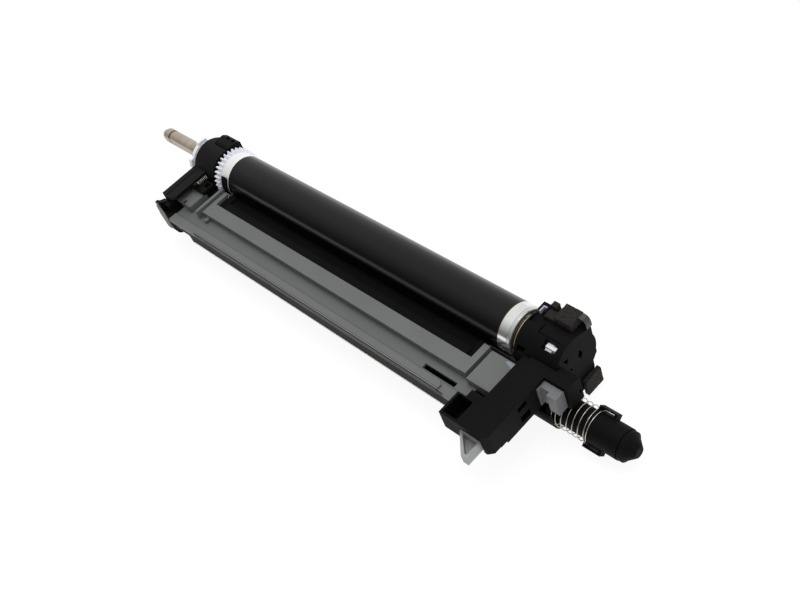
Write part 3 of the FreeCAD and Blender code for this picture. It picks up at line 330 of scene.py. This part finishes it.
def gear_shade():
    """White gear, with a warmer white ring beside it."""
    shade = Shade("gear_plastic", Specular_IOR_Level=0.3)
    ring = shade.ramp(shade.axis("X"), *GEAR_RING_X)
    body = shade.mix(ring, (0.86, 0.87, 0.93), (0.84, 0.85, 0.82))
    return plastic(shade, body, (0.95, 0.95, 0.96), 0.42)


def foam_shade():
    """Open sponge: dark cells and a few bright specks."""
    shade = Shade("foam", Specular_IOR_Level=0.2)
    coarse = shade.cells(800)
    walls = shade.ramp(shade.maths("ADD", shade.cells(1700), shade.times(coarse, 0.7)), 0.3, 1.1)
    body = shade.mix(walls, (0.004, 0.0035, 0.0034), (0.030, 0.0265, 0.025))
    speck = shade.ramp(shade.noise(2600, 1), 0.70, 0.76, 0.0, 0.8)
    shade.set(Base_Color=shade.mix(speck, body, (0.16, 0.17, 0.17)))
    shade.set(Roughness=shade.ramp(coarse, 0.2, 0.8, 0.8, 0.95))
    shade.set(Normal=shade.bump(walls, 0.00025, 1.0))
    return shade.material


def film_shade(name, colour):
    """Thin satin film."""
    shade = Shade(name, IOR=1.4)
    cloud = shade.noise(120, 3)
    shade.set(Base_Color=shade.mix(shade.spread(cloud), scaled(colour, 0.85), colour))
    shade.set(Roughness=shade.spread(cloud, 0.28, 0.4))
    shade.set(Normal=shade.bump(cloud, 0.00004, 0.5))
    return shade.material


# Each plastic's colour, its colour on rubbed edges, roughness and specular level
black = moulded("black_plastic", (0.003, 0.003, 0.0031), (0.02, 0.02, 0.02), 0.6, 0.1)
deep = moulded("black_plastic_smooth", (0.0034, 0.0034, 0.0035), (0.018, 0.018, 0.018), 0.63, 0.08)
blue_grey = moulded("button_plastic", (0.15, 0.155, 0.165), (0.27, 0.28, 0.30), 0.46, 0.3)
lever_grey = moulded("lever_plastic", (0.34, 0.345, 0.345), (0.42, 0.425, 0.42), 0.5, 0.3)
white = moulded("white_plastic", (0.88, 0.89, 0.93), (0.95, 0.95, 0.96), 0.42, 0.3)
bush = moulded("bush_plastic", (0.62, 0.63, 0.66), (0.8, 0.8, 0.82), 0.42, 0.4)
lilac = moulded("clip_plastic", (0.36, 0.37, 0.46), (0.5, 0.5, 0.6), 0.42, 0.3)
tan = moulded("fin_face", (0.185, 0.18, 0.155), (0.25, 0.24, 0.21), 0.6, 0.2)
# The front contact strip is a pale metal; its near-white colour is partly its own and partly a painted highlight
# standing in for its sheen.
strip = moulded("strip_painted_sheen", (0.90, 0.87, 0.77), (0.95, 0.93, 0.85), 0.3, 0.4)
bracket = moulded("bracket_coated", (0.0012, 0.0012, 0.0013), (0.006, 0.006, 0.006), 0.4, 0.06)
rubber = moulded("rubber", (0.0012, 0.0012, 0.0012), (0.005, 0.005, 0.005), 0.5, 0.05)
felt = moulded("felt", (0.004, 0.004, 0.004), (0.01, 0.01, 0.01), 0.9, 0.1, 900, 0.0002)
steel = metal("steel", (0.50, 0.47, 0.43), 0.34)
wire = metal("spring_wire", (0.52, 0.475, 0.42), 0.26, (0.2, 1, 1), 1.0)
# Bronze metal for the ring that is a painted highlight
bronze = metal("bronze_highlight_metal", (0.55, 0.40, 0.22), 0.35)
pin = metal("pin_steel", (0.05, 0.048, 0.046), 0.4, level=0.8)
film = film_shade("film", (0.10, 0.09, 0.07))
tan_film = film_shade("tan_film", (0.045, 0.042, 0.034))
pale_film = film_shade("pale_film", (0.30, 0.33, 0.38))
foam = foam_shade()

looks = {
    "drum_coat": drum_shade(), "grey_plastic": housing_shade(), "black_plastic": black, "white_plastic": white,
    "steel": steel, "blade_rubber": rubber, "felt": felt, "film": film, "foam": foam,
}
special = {
    "lower_casing": black, "near_end_frame": deep, "bearing_housing": deep, "waste_pipe": deep,
    "pipe_end_cap": deep, "shutter_sleeve": deep, "far_end_frame": far_frame_shade(),
    "drum_shaft": shaft_shade(), "near_flange": flange_shade(), "gear_flange": gear_shade(),
    "blade_bracket": bracket, "front_contact_strip": strip, "lever_pin": pin, "near_bush": bush,
    "lock_button": blue_grey, "release_lever": lever_grey,
}
for entry in frame["record"]["subparts"]:
    mesh = nodes[entry["node"]].data
    mesh.materials.clear()
    mesh.materials.append(special.get(entry["node"], looks[entry["material_slot"]]))


# Pieces in mesh code, in millimetres

def attach(name, mesh, material, body):
    mesh.materials.append(material)
    piece = bpy.data.objects.new(name, mesh)
    scene.collection.objects.link(piece)
    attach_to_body(piece, body)
    return piece


def mesh_piece(name, points, faces, material, smooth=False):
    mesh = bpy.data.meshes.new(name)
    mesh.from_pydata([[c * MM for c in point] for point in points], [], faces)
    mesh.update()
    if smooth:
        mesh.shade_smooth()
    return attach(name, mesh, material, "frame")


def rounded(piece, width, segments):
    bevel = piece.modifiers.new("edges", "BEVEL")
    bevel.width = width * MM
    bevel.segments = segments
    bevel.limit_method = "ANGLE"


def wire_piece(name, path, radius, sides):
    """A round wire along a path, closed at both ends."""
    points = []
    normal = Vector((0.3, 0.5, 0.8))
    for i, here in enumerate(path):
        before = path[max(i - 1, 0)]
        after = path[min(i + 1, len(path) - 1)]
        way = (after - before).normalized()
        normal = (normal - way * normal.dot(way)).normalized()
        across = way.cross(normal)
        for side in range(sides):
            turn = 2 * math.pi * side / sides
            points.append(here + (normal * math.cos(turn) + across * math.sin(turn)) * radius)
    last = (len(path) - 1) * sides
    faces = [[i + s, i + (s + 1) % sides, i + sides + (s + 1) % sides, i + sides + s]
             for i in range(0, last, sides) for s in range(sides)]
    faces.append(list(range(sides))[::-1])
    faces.append(list(range(last, last + sides)))
    return mesh_piece(name, points, faces, wire, True)


def coil(radius, thick, turns, start, end, steps):
    """The line of a compression spring with closed ends: distance along, across and up."""
    line = []
    total = int(turns * steps)
    for i in range(total + 1):
        lead = max(0.0, min(1.0, (i - steps * 0.75) / (total - steps * 1.5)))
        along = start + thick + (end - start - 2 * thick) * (lead * 0.8 + 0.2 * i / total)
        turn = 2 * math.pi * i / steps
        line.append((along, radius * math.cos(turn), radius * math.sin(turn)))
    return line


def prism(low, high):
    """Points and faces of a solid between two rings with as many points."""
    count = len(low)
    faces = [list(range(count))[::-1], list(range(count, 2 * count))]
    faces += [[i, (i + 1) % count, count + (i + 1) % count, count + i] for i in range(count)]
    return low + high, faces


def slab(name, outline, low, high, material, round_off=0.15):
    """A flat piece with a given outline, seen from above, and rounded edges."""
    points, faces = prism([(x, y, low) for x, y in outline], [(x, y, high) for x, y in outline])
    rounded(mesh_piece(name, points, faces, material), round_off, 3)


def swept(name, line, first, last, thick, material):
    """A thin strip: a line in X and Z, drawn along Y from first to last."""
    points = []
    for y in (first, last):
        for index, (x, z) in enumerate(line):
            before = line[max(index - 1, 0)]
            after = line[min(index + 1, len(line) - 1)]
            way = Vector((after[0] - before[0], after[1] - before[1])).normalized()
            points += [(x, y, z), (x + way.y * thick, y, z - way.x * thick)]
    count = len(line)
    faces = []
    for a in range(0, 2 * count - 2, 2):
        b, c, d = a + 2, a + 2 * count, a + 2 * count + 2
        faces += [[a, b, d, c], [a + 1, c + 1, d + 1, b + 1], [a, a + 1, b + 1, b], [c, d, d + 1, c + 1]]
    end = 2 * count - 2
    faces += [[0, 2 * count, 2 * count + 1, 1], [end, end + 1, end + 2 * count + 1, end + 2 * count]]
    mesh_piece(name, points, faces, material)


def arc_wall(name, start, end, inner, outer, first, last, centre, material, steps):
    """Part of a round wall between two angles in degrees, from first to last along X."""
    angles = [math.radians(start + (end - start) * i / steps) for i in range(steps + 1)]
    points = [(x, centre[0] + radius * math.cos(angle), centre[1] + radius * math.sin(angle))
              for x in (first, last) for radius in (inner, outer) for angle in angles]
    n = steps + 1
    faces = []
    for i in range(steps):
        faces += [[i, i + 1, 2 * n + i + 1, 2 * n + i], [n + i, 3 * n + i, 3 * n + i + 1, n + i + 1],
                  [i, n + i, n + i + 1, i + 1], [2 * n + i, 2 * n + i + 1, 3 * n + i + 1, 3 * n + i]]
    faces += [[0, 2 * n, 3 * n, n], [n - 1, 2 * n - 1, 4 * n - 1, 3 * n - 1]]
    rounded(mesh_piece(name, points, faces, material), 0.12, 2)


def sponge(node, seed):
    """A torn sponge block inside a node's box, with pitted faces and soft corners."""
    cell = 0.45
    soft = 0.35
    low, high = (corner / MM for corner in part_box(node))
    mid = (low + high) / 2
    half = (high - low) / 2
    work = bmesh.new()
    bmesh.ops.create_cube(work, size=2)
    for index in range(3):
        edges = [e for e in work.edges if abs((e.verts[0].co - e.verts[1].co)[index]) > 1e-6]
        cuts = max(3, round(2 * half[index] / cell)) - 1
        bmesh.ops.subdivide_edges(work, edges=edges, cuts=cuts, use_grid_fill=True)
    for vert in work.verts:
        place = Vector(vert.co[i] * half[i] for i in range(3))
        inner = Vector(max(-(half[i] - soft), min(half[i] - soft, place[i])) for i in range(3))
        out = place - inner
        if out.length > 1e-6:
            place = inner + out.normalized() * soft
        facing = (place - inner).normalized()
        spot = (place + mid) * 1.1 + Vector((seed, 0, 0))
        depth = 0.08 + 0.10 * noise.noise(spot * 0.45) + 0.3 * max(0.0, noise.noise(spot * 2.4))
        vert.co = (place - facing * max(0.02, depth) + mid) * MM
    work.normal_update()
    mesh = bpy.data.meshes.new(node + "_sponge")
    work.to_mesh(mesh)
    work.free()
    piece = attach(node + "_sponge", mesh, foam, nodes[node]["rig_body"])
    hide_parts(node)


# Springs and sponge blocks, in place of their solids
line = coil(radius=9.75, thick=0.3, turns=7.5, start=327.2, end=350.4, steps=48)
path = [Vector((x, y + PIPE_Y, z + PIPE_Z)) for x, y, z in line]
shutter_spring = wire_piece("shutter_spring_wire", path, 0.3, 10)
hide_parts("shutter_spring")
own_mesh(shutter_spring)

line = coil(radius=1.5, thick=0.22, turns=8, start=-24.4, end=-16.33, steps=28)
path = [Vector((23 + y, x, 4.4 + z)) for x, y, z in line]
lever_spring = wire_piece("lever_spring_wire", path, 0.22, 8)
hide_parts("lever_spring")
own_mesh(lever_spring)

for count, node in enumerate(("foam_block_large", "foam_block_small", "foam_block_side", "foam_block_low")):
    sponge(node, seed=7.3 * count)

# Small pieces at the near end
flap = [(322.4, 19.7), (324.2, 19.75), (325.6, 19.4), (326.6, 18.5), (327.2, 17.0), (327.4, 15.2), (327.4, 13.0)]
swept("foam_film_flap", flap, 11.4, 15.4, 0.35, tan_film)
clip = [(300.75, 6.3), (301.7, 6.3), (301.7, 9.7), (303.4, 9.7), (303.4, 10.6), (300.75, 10.6)]
slab("housing_clip", clip, 14.3, 16.8, lilac)
stop = [(297.0, -2.2), (298.6, -2.2), (298.6, -0.7), (297.0, -0.7)]
slab("ring_stop", stop, 11.7, 14.4, lilac)
shelf = [(296.6, -20.5), (298.0, -19.2), (305.0, -19.2), (305.0, -24.4), (301.2, -22.2)]
slab("shelf_film", shelf, 0.05, 0.3, pale_film, 0.05)
arc_wall("pipe_socket_skirt", 155, 240, 10.45, 10.95, 312, 330.5, (PIPE_Y, PIPE_Z), deep, 28)
# A thin bronze ring that stands in for the highlight on the bearing housing's inner edge: a painted highlight.
arc_wall("painted_highlight_ring", 0, 350, 13.0, 13.7, 296.6, 297.4, (0, 0), bronze, 60)

# Small pieces at the far end
fin = [(9.4, -20.4), (10.8, -16.2), (12.1, -12.5), (13.2, -8.0), (13.4, -3.6), (12.0, -0.2),
       (9.5, 1.4), (6.5, 0.9), (6.0, -3.2), (5.6, -9.0), (5.0, -16.2), (5.9, -19.8)]
points, faces = prism([(x, -51.8, z) for x, z in fin], [(x, -51.42, z) for x, z in fin])
mesh_piece("fin_face", points, faces, tan)
arc_wall("drum_end_pad", 142, 188, 15.75, 16.2, 39.6, 45.7, (0, 0), felt, 20)
contact_wires = (((24.3, -51.55, -4.8), (27.0, -51.55, -11.3)), ((36.9, -51.55, -7.2), (40.4, -51.55, -14.3)))
for count, (first, last) in enumerate(contact_wires):
    path = [Vector(first).lerp(Vector(last), i / 6) for i in range(7)]
    wire_piece("contact_wire_%d" % (count + 1), path, 0.18, 8)

# Camera at the photograph's viewpoint
camera_data = bpy.data.cameras.new("camera")
camera_data.lens = 47.95
camera_data.sensor_width = 36
camera_data.clip_start = 0.01
camera = bpy.data.objects.new("camera", camera_data)
scene.collection.objects.link(camera)
right = Vector((0.68065565, 0.67780219, -0.27801452))
up = Vector((-0.39975726, 0.66164038, 0.63437066))
back = Vector((0.61392346, -0.32064965, 0.72130562))
turn = Matrix((right, up, back)).transposed().to_4x4()
camera.matrix_world = Matrix.Translation((0.58458, -0.21276, 0.43255)) @ turn
scene.camera = camera

# A pale floor just under the part, which glows a little so that it stays plain
floor_z = cad_box[0][2]
bpy.ops.mesh.primitive_plane_add(size=12, location=(0.15, 0, floor_z - 0.0002))
floor = bpy.context.object
floor.name = "floor"
floor_shade = Shade("floor", Base_Color=(0.16, 0.16, 0.16, 1), Roughness=0.9, Specular_IOR_Level=0.0,
                    Emission_Color=(1, 1, 1, 1), Emission_Strength=0.9)
floor.data.materials.append(floor_shade.material)

# A studio that is bright overhead and behind the drum, and dark low in front
world = bpy.data.worlds.new("studio")
scene.world = world
world.use_nodes = True
tree = world.node_tree
background = tree.nodes["Background"]
background.inputs["Color"].default_value = (1, 1, 1, 1)
way = tree.nodes.new("ShaderNodeTexCoord")
slope = tree.nodes.new("ShaderNodeVectorMath")
slope.operation = "DOT_PRODUCT"
slope.inputs[1].default_value = (0, 1, 1)
glow = tree.nodes.new("ShaderNodeMapRange")
for socket, value in (("From Min", -0.6), ("From Max", 0.6), ("To Min", 0.16), ("To Max", 0.88)):
    glow.inputs[socket].default_value = value
tree.links.new(way.outputs["Generated"], slope.inputs[0])
tree.links.new(slope.outputs["Value"], glow.inputs["Value"])
tree.links.new(glow.outputs["Result"], background.inputs["Strength"])

# A soft light from above
key_data = bpy.data.lights.new("key", "AREA")
key_data.shape = "RECTANGLE"
key_data.size, key_data.size_y = 0.8, 0.5
key_data.energy = 5
key = bpy.data.objects.new("key", key_data)
scene.collection.objects.link(key)
key_place = Vector((0.2, 0.25, 1.3))
key_way = (Vector((0.15, 0, 0)) - key_place).to_track_quat("-Z", "Y")
key.matrix_world = Matrix.Translation(key_place) @ key_way.to_matrix().to_4x4()
scene.view_settings.view_transform = "Standard"
